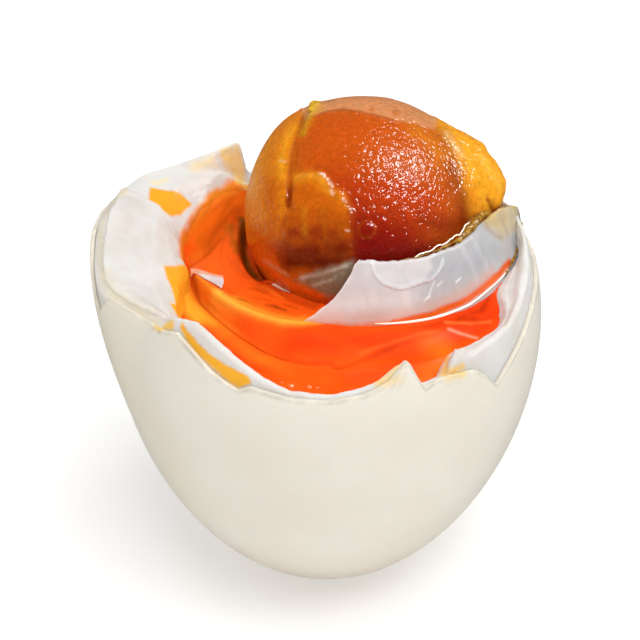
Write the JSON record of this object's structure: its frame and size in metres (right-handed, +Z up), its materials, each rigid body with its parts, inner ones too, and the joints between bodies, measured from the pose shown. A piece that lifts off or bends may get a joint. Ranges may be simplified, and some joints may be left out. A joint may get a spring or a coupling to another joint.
{
  "type": "opened salted duck egg",
  "caption": "Boiled egg standing on its tip with the top broken off: shell, torn cup of white, ball of yolk, orange oil and a collar of white.",
  "frame": {"origin": "centre of the flat spot that the egg stands on, on the egg's own axis", "axes": "+Z up along the egg's axis, -Y the side with the low front rim, +X the side with the collar's right end"},
  "size_m": [0.0469, 0.0448, 0.0514],
  "materials": {
    "shell": "smooth dull ivory eggshell",
    "white": "moist cooked egg white",
    "oil": "glossy orange yolk oil",
    "yolk": "moist, finely grained salted yolk",
    "collar": "wet, slightly see-through egg white"
  },
  "bodies": {
    "root": {"eggshell": "shell", "egg_white": "white", "yolk_oil": "oil", "yolk": "yolk", "white_collar": "collar"}
  },
  "joints": []
}
